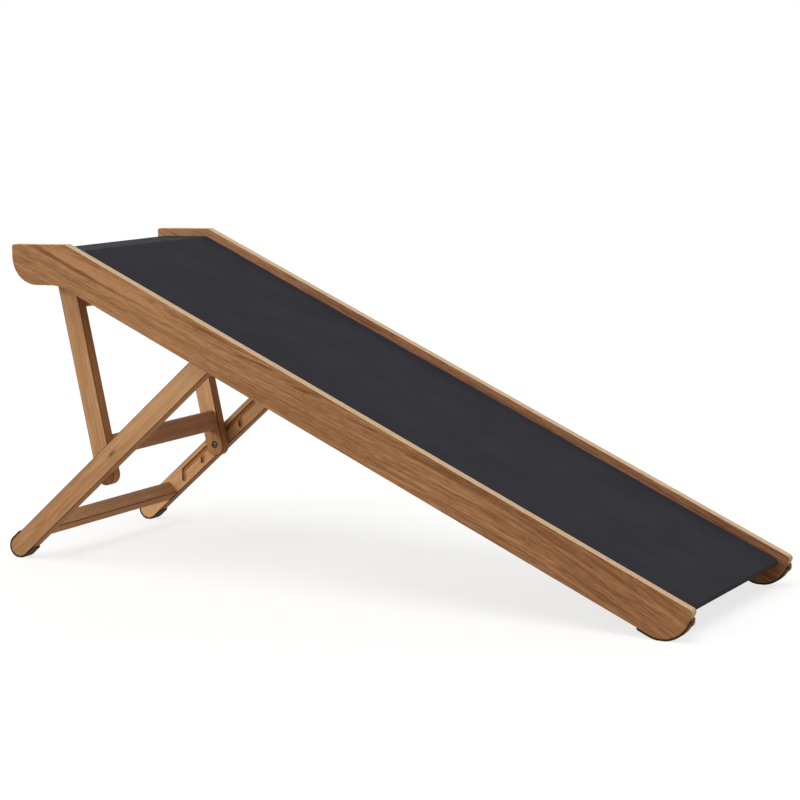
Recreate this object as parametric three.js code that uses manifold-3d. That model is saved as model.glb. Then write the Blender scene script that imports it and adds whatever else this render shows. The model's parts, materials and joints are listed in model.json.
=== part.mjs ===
// A wooden pet ramp with a level head, a sloped deck between two side rails, and a folding
// prop with four height settings. Sizes are in millimetres, +Z is up and +X runs towards the
// low end. Left and right are those of a pet walking up, so the left rail lies on -Y.
import * as THREE from 'three';
import { mergeVertices } from 'three/addons/utils/BufferGeometryUtils.js';
import Module from 'manifold-3d';

const wasm = await Module();
wasm.setup();

// Rails. The nose is the level head of a rail, from the bend to its front end.
const rampWidth = 400;
const railThickness = 15;
const railHeight = 59;
const slopeLength = 1058;
const noseLength = 94;
const bendAngle = THREE.MathUtils.degToRad(25.8);
const noseTopRadius = 4;
const noseBottomRadius = 40;
const bendBottomRadius = 60;
const footTopRadius = 6;
const footBottomRadius = 40;
const railRound = 1.2;

// Deck: two boards let into the rails, under one mat that turns round both ends of the deck
// and lies in a rebate of the board beneath.
const deckDepth = 12;
const deckThickness = 10.5;
const matThickness = 2;
const matRound = 2.8;
const headEndRun = 13;
const footEndRun = 4;
const matTurn = 20;
const deckSetback = 14.5;
const platformSetback = 2.5;
const grooveDepth = 5;
const crossbarWidth = 24;
const crossbarDepth = 18;
const headCrossbarSetback = 21.5;
const footCrossbarSetback = 71.5;

// Prop frame: two legs hinged to the rails, joined by a stretcher, standing on the floor.
const propPivotAlong = 273;
const propPivotDepth = 40;
const propReach = 453;
const propLegWidth = 31;
const propLegThickness = 20;
const propStretcherSetback = 51.6;
const propStretcherAlong = 21;
const propStretcherAcross = 22;
const propStretcherInset = 1.5;
const propStretcherRound = 1.5;
const propCounterboreDepth = 5;

// Height notches on the inner faces of the prop legs: one groove with four branches.
const notchCount = 4;
const notchInUse = 1;
const firstNotch = 224.2;
const notchPitch = 47.3;
const notchDrop = 6.2;
const notchRun = 10;
const slotWidth = 7.6;
const slotDepth = 3.2;
const slotOffset = 4.8;
const slotStart = 182;

// Brace frame: two legs hinged under the head, joined by two stretchers.
const bracePivotBack = 33;
const bracePivotDepth = 38.5;
const bracePinReach = 303.4;
const braceEndSetback = 3;
const braceLegWidth = 30;
const braceLegThickness = 18;
const braceStretcherHeight = 31;
const braceStretcherThickness = 18;
const braceStretcherInset = 3;
const braceStretcherRound = 6;
const lowerStretcherSetback = 38;
const upperStretcherPlace = 43.5;
const legRound = 1.2;

// Gaps between the planes in which the parts turn.
const propGap = 2;
const braceGap = 2.5;

// Rubber: strips round the rails' low ends and shoes round the prop's feet.
const railPadThickness = 2.3;
const railPadRun = 60;
const railPadTop = 11;
const shoeThickness = 1.6;
const shoeRun = 17;
const rubberPress = 0.4;

// Fasteners.
const pivotBoltRadius = 4;
const pivotHeadRadius = 8.5;
const pivotHeadHeight = 3.6;
const pivotBoltEnd = 4.5;
const insertRadius = 6;
const insertLength = 11.5;
const washerRadius = 10;
const notchBoltRadius = 3;
const notchHeadRadius = 4.7;
const notchHeadHeight = 3.5;
const notchHeadGap = 0.9;
const socketAcross = 4.6;
const socketDepth = 2.2;
const socketSides = 6;
const headRound = 1;
const dowelRadius = 4;
const dowelInRail = 10;
const dowelInLeg = 12;
const dowelInBar = 20;
const dowelEdge = 6;
const padScrewRadius = 2;
const padScrewLength = 14;
const padScrewHeadRadius = 4.2;
const padScrewHeadHeight = 2.4;
const padScrewDepth = 17;

// Clearance between pieces that touch, and how far a cutter runs past what it cuts.
const clearance = 0.3;
const overrun = 2;

// Resolution of round stretches, and the distance below which two points are one.
const arcStep = THREE.MathUtils.degToRad(10);
const boreStep = THREE.MathUtils.degToRad(20);
const roundSegments = 2;
const turnedSegments = 18;
const weldDistance = 1e-4;

const railInside = railThickness;
const propOutside = railInside + propGap;
const propInside = propOutside + propLegThickness;
const braceOutside = propInside + braceGap;
const braceInside = braceOutside + braceLegThickness;
const deckBottom = deckDepth + deckThickness;
const deckReach = slopeLength - deckSetback;
const platformReach = noseLength - platformSetback;
const headCrossbarPlace = platformReach - headCrossbarSetback;
const footCrossbarPlace = deckReach - footCrossbarSetback;
const boardTop = deckDepth + matThickness + clearance;
const propStretcherPlace = propReach - propStretcherSetback;
const lowerStretcherPlace = bracePinReach - lowerStretcherSetback;
const sides = [['left', -1], ['right', 1]];

function wood(color, roughness) {
  return new THREE.MeshStandardMaterial({ color, roughness, metalness: 0 });
}

const railWood = wood(0xa8794e, 0.5);
const legWood = wood(0xb08660, 0.55);
const stretcherWood = wood(0x8a6040, 0.55);
const hiddenWood = wood(0xc9a77c, 0.7);
const matFabric = wood(0x35373b, 0.95);
const rubber = wood(0x352b20, 0.85);
const steel = new THREE.MeshStandardMaterial({ color: 0x8d8f91, roughness: 0.35, metalness: 1 });
const nylon = wood(0x26262a, 0.5);

// Plane outlines. Each is a list of points in the side view, x along and y up.

function point(x, y) {
  return new THREE.Vector2(x, y);
}

function arc(centre, radius, from, to, step = arcStep) {
  const count = Math.max(1, Math.round(Math.abs(to - from) / step));
  const points = [];
  for (let index = 0; index <= count; index += 1) {
    const angle = from + ((to - from) * index) / count;
    points.push(point(centre.x + radius * Math.cos(angle), centre.y + radius * Math.sin(angle)));
  }
  return points;
}

// Rounds each corner of a closed outline to its own radius.
function rounded(corners) {
  return corners.flatMap(([corner, radius], index) => {
    if (radius === 0) {
      return [corner];
    }
    const before = corners.at(index - 1)[0].clone().sub(corner).normalize();
    const after = corners[(index + 1) % corners.length][0].clone().sub(corner).normalize();
    const half = Math.acos(before.dot(after)) / 2;
    const middle = before.clone().add(after).normalize();
    const centre = corner.clone().addScaledVector(middle, radius / Math.sin(half));
    const start = corner.clone().addScaledVector(before, radius / Math.tan(half)).sub(centre).angle();
    const end = corner.clone().addScaledVector(after, radius / Math.tan(half)).sub(centre).angle();
    const turn = Math.atan2(Math.sin(end - start), Math.cos(end - start));
    return arc(centre, radius, start, start + turn);
  });
}

// A bar or slot with round ends between two points.
function slotOutline(start, end, radius, step = arcStep) {
  const along = end.clone().sub(start).angle();
  const quarter = Math.PI / 2;
  return [
    ...arc(end, radius, along - quarter, along + quarter, step),
    ...arc(start, radius, along + quarter, along + 3 * quarter, step),
  ];
}

function rectangle(left, right, bottom, top, radius) {
  return rounded([
    [point(left, bottom), radius],
    [point(right, bottom), radius],
    [point(right, top), radius],
    [point(left, top), radius],
  ]);
}

// Solids. A plate is an outline of the side view, given a thickness across the ramp.

function plate(outline, lowSide, highSide, round = 0) {
  const geometry = new THREE.ExtrudeGeometry(new THREE.Shape(outline), {
    depth: highSide - lowSide - 2 * round,
    bevelEnabled: round > 0,
    bevelThickness: round,
    bevelSize: round,
    bevelOffset: -round,
    bevelSegments: roundSegments,
  });
  geometry.rotateX(Math.PI / 2);
  geometry.translate(0, highSide - round, 0);
  return geometry;
}

// A plate on one side of the ramp, between two distances in from that rail's outer face.
function sidePlate(side, outline, outer, inner, round = 0) {
  const faces = [side * (rampWidth / 2 - outer), side * (rampWidth / 2 - inner)];
  return plate(outline, Math.min(...faces), Math.max(...faces), round);
}

function crossPlate(outline, distanceIn, round = 0) {
  return plate(outline, distanceIn - rampWidth / 2, rampWidth / 2 - distanceIn, round);
}

// A round bar across one side, for bores and cut-outs.
function sideBar(side, centre, radius, outer, inner) {
  return sidePlate(side, arc(centre, radius, 0, 2 * Math.PI, boreStep).slice(1), outer, inner);
}

// A turned piece: its profile runs from the axis, outwards and back to the axis.
function turned(profile) {
  return new THREE.LatheGeometry(profile, turnedSegments);
}

function solidOf(geometry) {
  const bare = geometry.clone();
  bare.deleteAttribute('normal');
  bare.deleteAttribute('uv');
  const merged = mergeVertices(bare, weldDistance);
  const mesh = new wasm.Mesh({
    numProp: 3,
    vertProperties: merged.attributes.position.array,
    triVerts: merged.index.array,
  });
  return new wasm.Manifold(mesh);
}

function cut(geometry, cutters) {
  let solid = solidOf(geometry);
  for (const cutter of cutters) {
    solid = solid.subtract(solidOf(cutter));
  }
  const mesh = solid.getMesh();
  const result = new THREE.BufferGeometry();
  result.setAttribute('position', new THREE.BufferAttribute(mesh.vertProperties, mesh.numProp));
  result.setIndex(new THREE.BufferAttribute(mesh.triVerts, 1));
  result.computeVertexNormals();
  return result;
}

function addPart(parent, name, geometry, material) {
  const mesh = new THREE.Mesh(geometry, material);
  mesh.name = name;
  parent.add(mesh);
  return mesh;
}

// Places a turned piece with its axis across the ramp, pointing out through the rail.
function addTurned(parent, name, geometry, material, side, centre, distanceIn) {
  const mesh = addPart(parent, name, geometry, material);
  mesh.position.set(centre.x, side * (rampWidth / 2 - distanceIn), centre.y);
  mesh.rotation.x = side > 0 ? 0 : Math.PI;
  return mesh;
}

// Places on the slope are measured down from the bend, and on the nose back from it, both
// with a depth below the rail's top edge.

function onSlope(along, depth) {
  return point(along, -depth);
}

function onNose(back, depth) {
  const cos = Math.cos(bendAngle);
  const sin = Math.sin(bendAngle);
  return point(-back * cos + depth * sin, -back * sin - depth * cos);
}

function onBend(depth) {
  return point(depth * Math.tan(bendAngle / 2), -depth);
}

const propPivot = onSlope(propPivotAlong, propPivotDepth);
const bracePivot = onNose(bracePivotBack, bracePivotDepth);
const footCentre = onSlope(slopeLength - footBottomRadius, railHeight - footBottomRadius);
const origin = point(0, 0);
const bracePin = point(bracePinReach, 0);
const shoeRadius = propLegWidth / 2 + clearance + shoeThickness;
const railPadRadius = footBottomRadius + clearance + railPadThickness;

// A leg's own frame has its pivot at the origin and x running down the leg. Folded flat, it
// lies parallel to the slope. The prop's angle follows from the triangle of its pivot, the
// brace's pivot and the notch in use, and the slope from both ends standing on the floor.
function poseAt(notch) {
  const pin = point(firstNotch + notch * notchPitch, notchDrop);
  const between = bracePivot.clone().sub(propPivot);
  const squares = between.lengthSq() + pin.lengthSq() - bracePinReach ** 2;
  const corner = Math.acos(squares / (2 * between.length() * pin.length()));
  const propAngle = 2 * Math.PI + pin.angle() - between.angle() - corner;
  const pinPlace = pin.clone().rotateAround(origin, -propAngle).add(propPivot);
  const braceAngle = 2 * Math.PI - pinPlace.sub(bracePivot).angle();
  const foot = point(propReach, 0).rotateAround(origin, -propAngle).add(propPivot);
  const base = footCentre.clone().sub(foot);
  const slope = base.angle() + Math.asin((shoeRadius - railPadRadius) / base.length());
  return { propAngle, braceAngle, slope };
}

const pose = poseAt(notchInUse);

// Straight down, seen in a frame that is turned by an angle.
function downwards(turn) {
  return turn - Math.PI / 2;
}

// A round rubber outline pressed flat where it meets the floor.
function pressedArc(centre, radius, from, to, down) {
  const half = Math.acos((radius - rubberPress) / radius);
  return [...arc(centre, radius, from, down - half), ...arc(centre, radius, down + half, to)];
}

// Side rails

const ramp = new THREE.Group();
ramp.name = 'ramp';

function railOutline() {
  return rounded([
    [onBend(0), 0],
    [onNose(noseLength, 0), noseTopRadius],
    [onNose(noseLength, railHeight), noseBottomRadius],
    [onBend(railHeight), bendBottomRadius],
    [onSlope(slopeLength, railHeight), footBottomRadius],
    [onSlope(slopeLength, 0), footTopRadius],
  ]);
}

// The edge of both boards in a rail, with room all round it.
function boardSlotOutline() {
  const end = matThickness;
  return [
    onBend(boardTop - clearance),
    onNose(platformReach - end, boardTop - clearance),
    onNose(platformReach - end, deckBottom + clearance),
    onBend(deckBottom + clearance),
    onSlope(deckReach - end, deckBottom + clearance),
    onSlope(deckReach - end, boardTop - clearance),
  ];
}

const headCrossbarCentre = onNose(headCrossbarPlace, deckBottom + clearance + crossbarDepth / 2);
const footCrossbarCentre = onSlope(footCrossbarPlace, deckBottom + clearance + crossbarDepth / 2);
const insertHoleEnd = railInside - insertLength - clearance;

function padScrewHole(side, extra) {
  const geometry = new THREE.CylinderGeometry(
    padScrewRadius + clearance,
    padScrewRadius + clearance,
    padScrewLength + extra,
    turnedSegments,
  );
  geometry.rotateZ(Math.PI / 2);
  const place = slopeLength + (extra - padScrewLength) / 2;
  geometry.translate(place, side * (rampWidth - railThickness) / 2, -padScrewDepth);
  return geometry;
}

for (const [name, side] of sides) {
  const body = sidePlate(side, railOutline(), 0, railInside, railRound);
  const reach = railInside + overrun;
  const rail = cut(body, [
    sidePlate(side, boardSlotOutline(), railInside - grooveDepth, reach),
    sideBar(side, propPivot, insertRadius + clearance, insertHoleEnd, reach),
    sideBar(side, bracePivot, insertRadius + clearance, insertHoleEnd, reach),
    sideBar(side, headCrossbarCentre, dowelRadius + clearance, railInside - dowelInRail, reach),
    sideBar(side, footCrossbarCentre, dowelRadius + clearance, railInside - dowelInRail, reach),
    padScrewHole(side, overrun),
  ]);
  addPart(ramp, `${name}_rail`, rail, railWood);
}

// Deck boards, mat and crossbars

const matInside = matRound - matThickness;
const matSkin = matThickness + clearance;
const boardRound = matInside - clearance;
const rebateTop = deckBottom - matSkin;
const headEndDrop = deckThickness - matRound - clearance;

// The rounded top edge of a deck's end: a quarter of an ellipse, from the top to the end face.
function endRound(place, reach, depth, run, drop) {
  const steps = Math.round(Math.PI / 2 / arcStep);
  return Array.from({ length: steps + 1 }, (_, step) => {
    const angle = Math.PI / 2 - (step * Math.PI) / 2 / steps;
    const back = run * (1 - Math.cos(angle));
    return [place(reach - back, depth + drop * (1 - Math.sin(angle))), 0];
  });
}

// The free end of a board, from its top edge round to its underside.
function boardEnd(place, reach, run, drop) {
  const end = reach - matSkin;
  const rebateStart = reach - matTurn - clearance;
  return [
    ...endRound(place, end, boardTop, run - matSkin, drop - matSkin),
    [place(end, rebateTop), boardRound],
    [place(rebateStart, rebateTop), 0],
    [place(rebateStart, deckBottom), 0],
  ];
}

function deckBoardOutline() {
  return rounded([
    [onBend(deckBottom).add(point(clearance / 2, 0)), 0],
    [onBend(boardTop).add(point(clearance / 2, 0)), 0],
    ...boardEnd(onSlope, deckReach, footEndRun, footEndRun),
  ]);
}

function platformBoardOutline() {
  return rounded([
    [onBend(deckBottom).sub(point(clearance / 2, 0)), 0],
    [onBend(boardTop).sub(point(clearance / 2, 0)), 0],
    ...boardEnd(onNose, platformReach, headEndRun, headEndDrop),
  ]);
}

// One end of the mat, from its top edge round to the inner corner above the board.
function matEnd(place, reach, run, drop) {
  const inner = reach - matThickness;
  const insideRun = run - matThickness;
  const insideDrop = drop - matThickness;
  return [
    ...endRound(place, reach, deckDepth, run, drop),
    [place(reach, deckBottom), matRound],
    [place(reach - matTurn, deckBottom), 0],
    [place(reach - matTurn, deckBottom - matThickness), 0],
    [place(inner, deckBottom - matThickness), matInside],
    ...endRound(place, inner, deckDepth + matThickness, insideRun, insideDrop).reverse(),
  ];
}

function matOutline() {
  return rounded([
    [onBend(deckDepth), 0],
    ...matEnd(onNose, platformReach, headEndRun, headEndDrop),
    [onBend(deckDepth + matThickness), 0],
    ...matEnd(onSlope, deckReach, footEndRun, footEndRun).reverse(),
  ]);
}

function crossbarOutline(place) {
  const top = deckBottom + clearance;
  return [
    place(-crossbarWidth / 2, top),
    place(crossbarWidth / 2, top),
    place(crossbarWidth / 2, top + crossbarDepth),
    place(-crossbarWidth / 2, top + crossbarDepth),
  ];
}

const boardSide = railInside - grooveDepth + clearance;
const betweenRails = railInside + clearance;
addPart(ramp, 'platform_board', crossPlate(platformBoardOutline(), boardSide), hiddenWood);
addPart(ramp, 'deck_board', crossPlate(deckBoardOutline(), boardSide), hiddenWood);
addPart(ramp, 'deck_mat', crossPlate(matOutline(), betweenRails), matFabric);

const crossbars = {
  head: { centre: headCrossbarCentre, place: (along, depth) => onNose(headCrossbarPlace + along, depth) },
  foot: { centre: footCrossbarCentre, place: (along, depth) => onSlope(footCrossbarPlace + along, depth) },
};

// A dowel lies half in a bar and half in the piece beside it, across the ramp.
function dowel(length) {
  return new THREE.CylinderGeometry(dowelRadius, dowelRadius, length, turnedSegments);
}

for (const [end, bar] of Object.entries(crossbars)) {
  const holes = sides.map(([, side]) =>
    sideBar(side, bar.centre, dowelRadius + clearance, railInside - overrun, railInside + dowelInBar));
  const body = crossPlate(crossbarOutline(bar.place), betweenRails);
  addPart(ramp, `${end}_crossbar`, cut(body, holes), hiddenWood);
  for (const [name, side] of sides) {
    const length = dowelInRail + dowelInBar - 2 * clearance;
    const middle = railInside + (dowelInBar - dowelInRail) / 2;
    addTurned(ramp, `${end}_crossbar_dowel_${name}`, dowel(length), hiddenWood, side, bar.centre, middle);
  }
}

// Rubber strips round the rails' low ends, each held by a screw near its top

function railPadOutline() {
  const inside = footBottomRadius + clearance;
  const down = downwards(pose.slope);
  const start = point(slopeLength - railPadRun, 0);
  return [
    point(start.x, -railHeight - clearance),
    point(start.x + railPadThickness, -railHeight - clearance - railPadThickness),
    ...pressedArc(footCentre, railPadRadius, -Math.PI / 2, 0, down),
    point(slopeLength + clearance + railPadThickness, -railPadTop - railPadThickness),
    point(slopeLength + clearance, -railPadTop),
    ...arc(footCentre, inside, 0, -Math.PI / 2),
  ];
}

function padScrew() {
  return turned([
    point(0, -padScrewLength + clearance),
    point(padScrewRadius, -padScrewLength + clearance),
    point(padScrewRadius, 0),
    point(padScrewHeadRadius, 0),
    point(padScrewHeadRadius, padScrewHeadHeight - headRound),
    point(padScrewHeadRadius - headRound, padScrewHeadHeight),
    point(0, padScrewHeadHeight),
  ]);
}

for (const [name, side] of sides) {
  const body = sidePlate(side, railPadOutline(), clearance, railInside - clearance);
  const pad = cut(body, [padScrewHole(side, 2 * railPadThickness + overrun)]);
  addPart(ramp, `${name}_rail_pad`, pad, rubber);
  const screw = addPart(ramp, `${name}_rail_pad_screw`, padScrew(), steel);
  const face = slopeLength + railPadThickness + 2 * clearance;
  screw.position.set(face, side * (rampWidth - railThickness) / 2, -padScrewDepth);
  screw.rotation.z = -Math.PI / 2;
}

// Pivots: threaded inserts in the rails, bolts put in from inside, and their spacers

// A ring that a pivot bolt passes through.
function pivotRing(radius, length) {
  const bore = pivotBoltRadius + clearance;
  return turned([
    point(bore, 0),
    point(radius, 0),
    point(radius, length),
    point(bore, length),
    point(bore, 0),
  ]);
}

// The seat of a bolt's head is at zero, its shank runs up and its head lies below.
function bolt(headRadius, headHeight, radius, length) {
  return cut(turned([
    point(0, -headHeight),
    point(headRadius - headRound, -headHeight),
    point(headRadius, headRound - headHeight),
    point(headRadius, 0),
    point(radius, 0),
    point(radius, length - headRound),
    point(radius - headRound, length),
    point(0, length),
  ]), [hexSocket(headHeight)]);
}

function pivotBolt(length) {
  return bolt(pivotHeadRadius, pivotHeadHeight, pivotBoltRadius, length);
}

function hexSocket(headHeight) {
  const radius = socketAcross / Math.sqrt(3);
  const socket = new THREE.CylinderGeometry(radius, radius, socketDepth + overrun, socketSides);
  socket.translate(0, socketDepth - headHeight - (socketDepth + overrun) / 2, 0);
  return socket;
}

for (const [name, side] of sides) {
  const insert = pivotRing(insertRadius, insertLength - clearance);
  for (const [frame, pivot] of [['prop', propPivot], ['brace', bracePivot]]) {
    addTurned(ramp, `${frame}_pivot_insert_${name}`, insert, steel, side, pivot, railInside);
  }
  const propSeat = propInside - propCounterboreDepth + clearance;
  const braceSeat = braceInside + clearance;
  const washer = pivotRing(washerRadius, propGap - 2 * clearance);
  const sleeve = pivotRing(washerRadius, braceOutside - railInside - 2 * clearance);
  addTurned(ramp, `prop_pivot_washer_${name}`, washer, nylon, side, propPivot, propOutside - clearance);
  addTurned(ramp, `brace_pivot_spacer_${name}`, sleeve, nylon, side, bracePivot, braceOutside - clearance);
  const propBolt = pivotBolt(propSeat - pivotBoltEnd);
  const braceBolt = pivotBolt(braceSeat - pivotBoltEnd);
  addTurned(ramp, `prop_pivot_bolt_${name}`, propBolt, steel, side, propPivot, propSeat);
  addTurned(ramp, `brace_pivot_bolt_${name}`, braceBolt, steel, side, bracePivot, braceSeat);
}

// Legs and stretchers share these shapes

function legOutline(length, width) {
  return slotOutline(origin, point(length, 0), width / 2);
}

// Two dowels a side, spaced along the longer way of a stretcher's section.
function dowelPlaces(centre, alongX, alongZ) {
  const shift = Math.max(alongX, alongZ) / 2 - dowelEdge;
  return [-1, 1].map((sign) => (alongX > alongZ
    ? point(centre.x + sign * shift, centre.y)
    : point(centre.x, centre.y + sign * shift)));
}

function addStretcher(parent, bar) {
  const halfX = bar.alongX / 2;
  const halfZ = bar.alongZ / 2;
  const { x, y } = bar.centre;
  const outline = rectangle(x - halfX, x + halfX, y - halfZ, y + halfZ, bar.round);
  const places = dowelPlaces(bar.centre, bar.alongX, bar.alongZ);
  const holes = sides.flatMap(([, side]) => places.map((place) =>
    sideBar(side, place, dowelRadius + clearance, bar.face - overrun, bar.face + dowelInBar)));
  const body = crossPlate(outline, bar.face + clearance);
  addPart(parent, bar.name, cut(body, holes), stretcherWood);
  for (const [name, side] of sides) {
    places.forEach((place, index) => {
      const length = dowelInLeg + dowelInBar - 2 * clearance;
      const middle = bar.face + (dowelInBar - dowelInLeg) / 2;
      const label = `${bar.name}_dowel_${name}_${index + 1}`;
      addTurned(parent, label, dowel(length), hiddenWood, side, place, middle);
    });
  }
}

// The blind holes for a stretcher's dowels in the leg that it meets.
function dowelHoles(side, bar) {
  return dowelPlaces(bar.centre, bar.alongX, bar.alongZ).map((place) =>
    sideBar(side, place, dowelRadius + clearance, bar.face - dowelInLeg, bar.face + overrun));
}

// Prop frame

const propFrame = new THREE.Group();
propFrame.name = 'prop_frame';
propFrame.position.set(propPivot.x, 0, propPivot.y);
propFrame.rotation.y = pose.propAngle;
ramp.add(propFrame);

const propStretcher = {
  name: 'prop_stretcher',
  centre: point(propStretcherPlace, (propLegWidth - propStretcherAcross) / 2 - propStretcherInset),
  alongX: propStretcherAlong,
  alongZ: propStretcherAcross,
  round: propStretcherRound,
  face: propInside,
};

function notchCutters(side) {
  const radius = slotWidth / 2;
  const lastNotch = firstNotch + (notchCount - 1) * notchPitch;
  const grooveEnd = point(lastNotch - notchRun, -slotOffset);
  const runs = [[point(slotStart, -slotOffset), grooveEnd]];
  for (let notch = 0; notch < notchCount; notch += 1) {
    const place = firstNotch + notch * notchPitch;
    runs.push([point(place - notchRun, -slotOffset), point(place, notchDrop)]);
  }
  return runs.map(([start, end]) =>
    sidePlate(side, slotOutline(start, end, radius, boreStep), propInside - slotDepth, propInside + overrun));
}

function shoeOutline() {
  const centre = point(propReach, 0);
  const inside = propLegWidth / 2 + clearance;
  const quarter = Math.PI / 2;
  const down = downwards(pose.propAngle + pose.slope);
  return [
    point(centre.x - shoeRun + shoeThickness, -shoeRadius),
    ...pressedArc(centre, shoeRadius, -quarter, quarter, down),
    point(centre.x - shoeRun + shoeThickness, shoeRadius),
    point(centre.x - shoeRun, inside),
    ...arc(centre, inside, quarter, -quarter),
    point(centre.x - shoeRun, -inside),
  ];
}

for (const [name, side] of sides) {
  const body = sidePlate(side, legOutline(propReach, propLegWidth), propOutside, propInside, legRound);
  const headHole = pivotHeadRadius + 2 * clearance;
  const headSeat = propInside - propCounterboreDepth;
  const leg = cut(body, [
    sideBar(side, origin, pivotBoltRadius + clearance, propOutside - overrun, propInside + overrun),
    sideBar(side, origin, headHole, headSeat, propInside + overrun),
    ...notchCutters(side),
    ...dowelHoles(side, propStretcher),
  ]);
  addPart(propFrame, `${name}_prop_leg`, leg, legWood);
  const shoe = sidePlate(side, shoeOutline(), propOutside + clearance, propInside - clearance);
  addPart(propFrame, `${name}_foot_shoe`, shoe, rubber);
}
addStretcher(propFrame, propStretcher);

// Brace frame

const braceFrame = new THREE.Group();
braceFrame.name = 'brace_frame';
braceFrame.position.set(bracePivot.x, 0, bracePivot.y);
braceFrame.rotation.y = pose.braceAngle;
ramp.add(braceFrame);

const braceStretchers = [
  ['brace_lower_stretcher', lowerStretcherPlace],
  ['brace_upper_stretcher', upperStretcherPlace],
].map(([name, place]) => ({
  name,
  centre: point(place, (braceLegWidth - braceStretcherThickness) / 2 - braceStretcherInset),
  alongX: braceStretcherHeight,
  alongZ: braceStretcherThickness,
  round: braceStretcherRound,
  face: braceInside,
}));

// The nose of a notch bolt stops just short of the prop leg, so both frames turn freely.
function notchBolt() {
  const length = braceInside - notchHeadHeight - clearance - propInside - clearance;
  return bolt(notchHeadRadius, notchHeadHeight, notchBoltRadius, length);
}

for (const [name, side] of sides) {
  const outline = legOutline(bracePinReach + braceEndSetback, braceLegWidth);
  const body = sidePlate(side, outline, braceOutside, braceInside, legRound);
  const headSeat = braceInside - notchHeadHeight - 2 * clearance;
  const past = braceInside + overrun;
  const leg = cut(body, [
    sideBar(side, origin, pivotBoltRadius + clearance, braceOutside - overrun, past),
    sideBar(side, bracePin, notchBoltRadius + clearance, braceOutside - overrun, past),
    sideBar(side, bracePin, notchHeadRadius + notchHeadGap, headSeat, past),
    ...braceStretchers.flatMap((bar) => dowelHoles(side, bar)),
  ]);
  addPart(braceFrame, `${name}_brace_leg`, leg, legWood);
  const seat = braceInside - notchHeadHeight - clearance;
  addTurned(braceFrame, `notch_bolt_${name}`, notchBolt(), steel, side, bracePin, seat);
}
braceStretchers.forEach((bar) => addStretcher(braceFrame, bar));

// The whole ramp stands at its slope, on the floor, centred over the origin

const petRamp = new THREE.Group();
petRamp.name = 'pet_ramp';
ramp.rotation.y = pose.slope;
const rise = footCentre.clone().rotateAround(origin, -pose.slope).y;
ramp.position.z = railPadRadius - rubberPress - rise;
petRamp.add(ramp);
petRamp.updateMatrixWorld(true);
const extent = new THREE.Box3().setFromObject(petRamp, true);
petRamp.position.x = -(extent.min.x + extent.max.x) / 2;

export default petRamp;
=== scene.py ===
# A folding wooden pet ramp, standing open on a pale studio floor. Sizes are in metres and in the
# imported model's own frame: +Z is up, +X runs towards the low end, and the left side lies on -Y.
import json
import math

import bpy
from mathutils import Matrix, Vector


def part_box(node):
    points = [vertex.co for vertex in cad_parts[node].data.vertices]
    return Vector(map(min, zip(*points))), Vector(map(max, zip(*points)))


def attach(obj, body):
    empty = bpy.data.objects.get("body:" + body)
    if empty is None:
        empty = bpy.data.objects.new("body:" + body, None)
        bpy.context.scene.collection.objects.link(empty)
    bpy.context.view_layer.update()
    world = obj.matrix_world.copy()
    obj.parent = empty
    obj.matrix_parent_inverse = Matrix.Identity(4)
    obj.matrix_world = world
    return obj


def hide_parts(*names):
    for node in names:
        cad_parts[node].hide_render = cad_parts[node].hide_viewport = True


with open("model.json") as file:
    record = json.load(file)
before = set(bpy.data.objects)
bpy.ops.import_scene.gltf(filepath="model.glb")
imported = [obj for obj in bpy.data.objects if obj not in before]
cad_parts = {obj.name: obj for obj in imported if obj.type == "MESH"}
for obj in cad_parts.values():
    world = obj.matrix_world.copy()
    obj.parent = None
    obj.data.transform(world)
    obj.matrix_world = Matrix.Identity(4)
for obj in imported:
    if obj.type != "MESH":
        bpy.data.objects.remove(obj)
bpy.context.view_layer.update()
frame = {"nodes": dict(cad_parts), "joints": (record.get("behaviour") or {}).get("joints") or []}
nodes = frame["nodes"]

# Camera. It stands off the ramp's left side, towards the low end and a little above the head,
# with a long lens and a slight roll.
view_azimuth = math.radians(27.455)
view_elevation = math.radians(8.165)
view_roll = math.radians(0.472)
view_distance = 3.4921
view_target = Vector((0.014, 0, 0.253))
lens_millimetres = 109.543

turn = Matrix.Rotation(view_azimuth, 4, "Z")
turn @= Matrix.Rotation(math.pi / 2 - view_elevation, 4, "X")
turn @= Matrix.Rotation(view_roll, 4, "Z")
camera_data = bpy.data.cameras.new("camera")
camera_data.lens = lens_millimetres
camera = bpy.data.objects.new("camera", camera_data)
camera.matrix_world = Matrix.Translation(view_target) @ turn @ Matrix.Translation((0, 0, view_distance))
bpy.context.scene.collection.objects.link(camera)
bpy.context.scene.camera = camera

# Studio. A wide white floor under a white sky, a low soft key light from the front left, a broad
# one overhead, and weaker ones from the right and from behind. Sky and floor look white to the
# camera and to gloss.
floor_size = 30
floor_bounce_tone = (0.56, 0.49, 0.42, 1)
floor_seen_tone = (0.95, 0.95, 0.95, 1)
floor_shadow_share = 0.25
white = (1, 1, 1, 1)
sky_strength = 0.28
sky_tone = (1, 0.95, 0.9, 1)
# Each sun has a strength, the way that it shines and the angle that it spans.
suns = {
    "key": (1.75, (0.35, 0.9, -0.27), math.radians(25)),
    "overhead": (1.85, (0.05, 0.3, -1), math.radians(50)),
    "right": (0.75, (-0.75, 0.6, -0.12), math.radians(60)),
    "back": (0.9, (0.2, -0.9, -0.4), math.radians(60)),
}


def add(tree, kind, sockets=None, **settings):
    """Adds a node, makes its settings, and fills or links its sockets."""
    node = tree.nodes.new(kind)
    for name, value in settings.items():
        setattr(node, name, value)
    for name, value in (sockets or {}).items():
        if isinstance(value, bpy.types.NodeSocket):
            tree.links.new(value, node.inputs[name])
        else:
            node.inputs[name].default_value = value
    return node


def calculate(tree, operation, *values):
    """The result of one step of arithmetic, as a socket."""
    return add(tree, "ShaderNodeMath", dict(enumerate(values)), operation=operation).outputs[0]


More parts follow.
